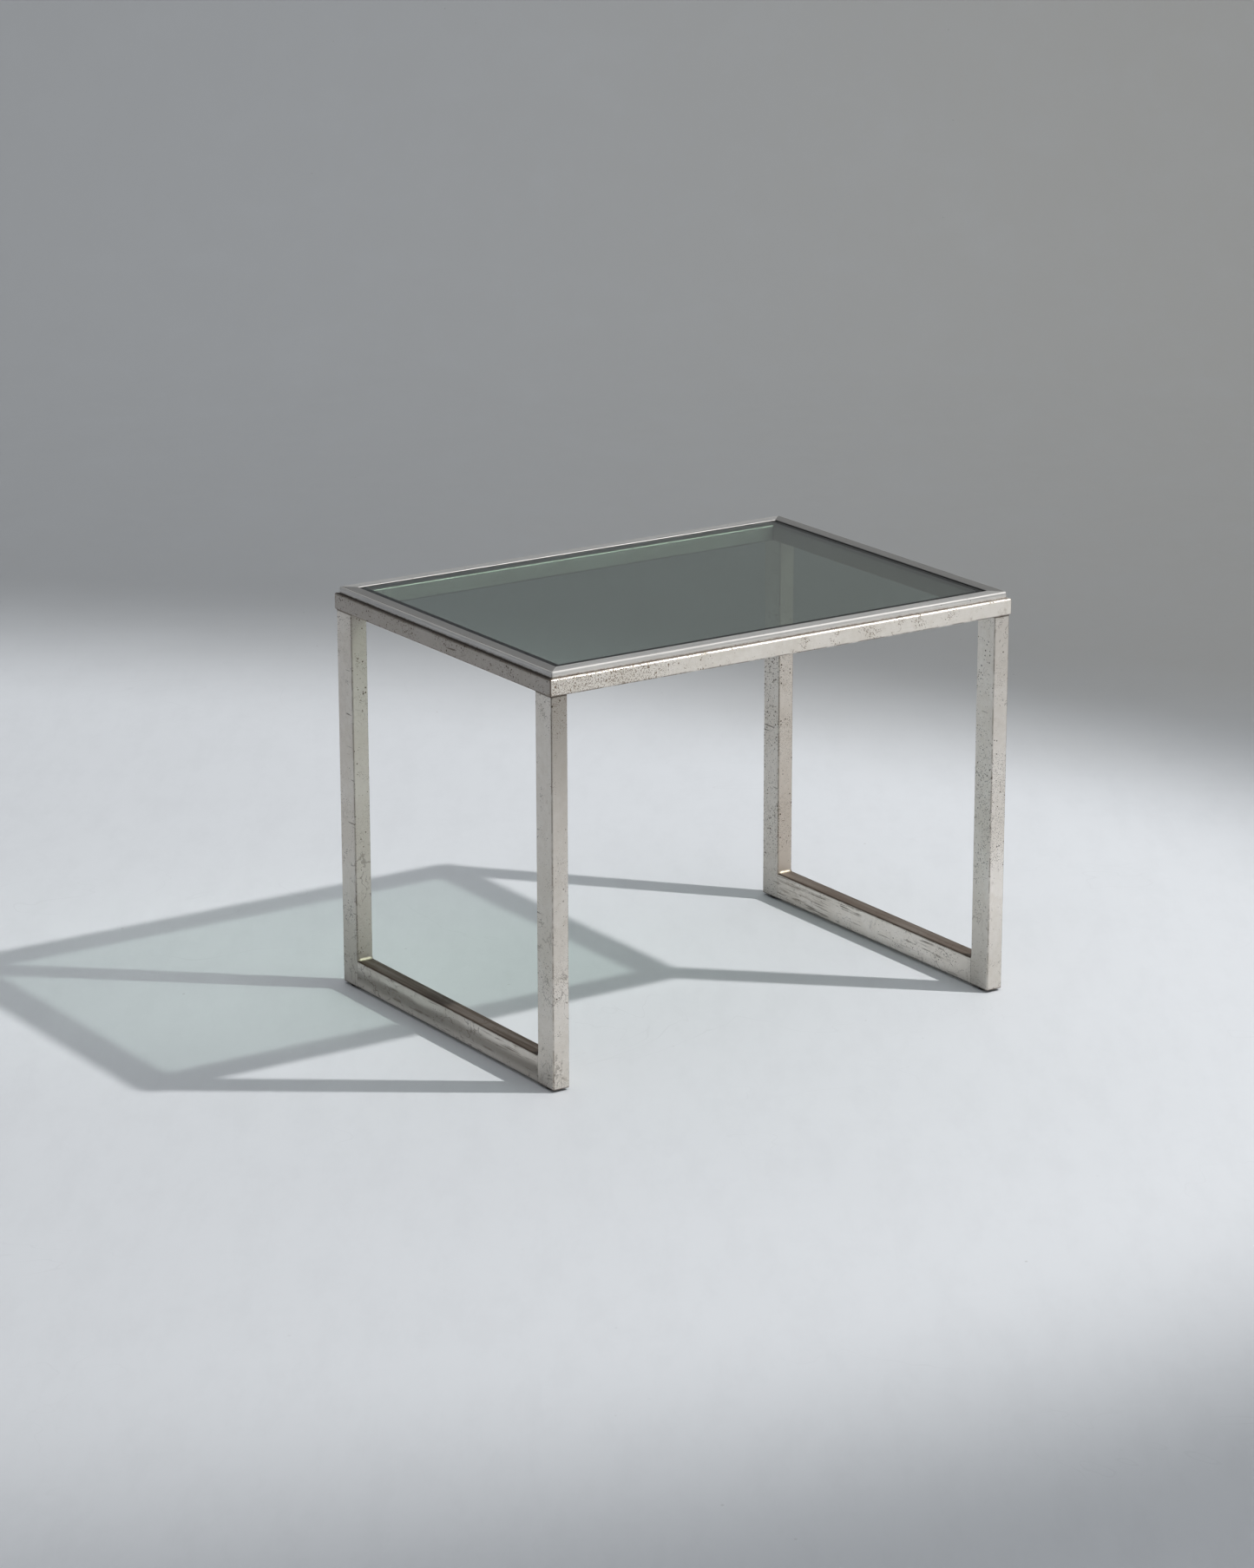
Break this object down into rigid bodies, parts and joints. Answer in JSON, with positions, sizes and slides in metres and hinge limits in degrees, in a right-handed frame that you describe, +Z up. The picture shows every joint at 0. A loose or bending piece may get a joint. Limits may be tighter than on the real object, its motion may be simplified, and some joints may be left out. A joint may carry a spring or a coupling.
{
  "type": "side table",
  "caption": "Low rectangular side table: welded frame of plated rectangular steel tube, a mitred trim rebate and a loose clear glass top that lifts out.",
  "frame": {"origin": "on the floor, under the centre of the table", "axes": "+X along the long sides, +Y along the short sides, +Z up; the side at -Y and the leg frame at -X face the viewer"},
  "size_m": [0.582, 0.425, 0.446],
  "materials": {
    "plated_tube": "aged satin nickel or chrome plate on steel, pitted and scratched, brown at joints and lower edges",
    "trim_bar": "fine lengthwise brushed plate, cleaner than the tubes",
    "weld": "plated weld bead, browned in the corners",
    "end_plate": "dull mill steel",
    "foot_pad": "matte black",
    "glass": "clear grey-green float glass"
  },
  "bodies": {
    "frame": {"leg_front_left": "plated_tube", "leg_front_right": "plated_tube", "leg_rear_left": "plated_tube", "leg_rear_right": "plated_tube", "stretcher_left": "plated_tube", "stretcher_right": "plated_tube", "rail_front": "plated_tube", "rail_rear": "plated_tube", "rail_left": "plated_tube", "rail_right": "plated_tube", "trim_front": "trim_bar", "trim_rear": "trim_bar", "trim_left": "trim_bar", "trim_right": "trim_bar", "weld_front_left": "weld", "weld_front_right": "weld", "weld_rear_left": "weld", "weld_rear_right": "weld", "end_plate_front_left": "end_plate", "end_plate_front_right": "end_plate", "end_plate_rear_left": "end_plate", "end_plate_rear_right": "end_plate", "foot_front_left": "foot_pad", "foot_front_right": "foot_pad", "foot_rear_left": "foot_pad", "foot_rear_right": "foot_pad"},
    "glass": {"glass_pane": "glass"}
  },
  "joints": [
    {"name": "glass_lift", "type": "slide", "parent": "frame", "child": "glass", "axis": [0, 0, 1], "range_m": [0, 0.06]}
  ]
}
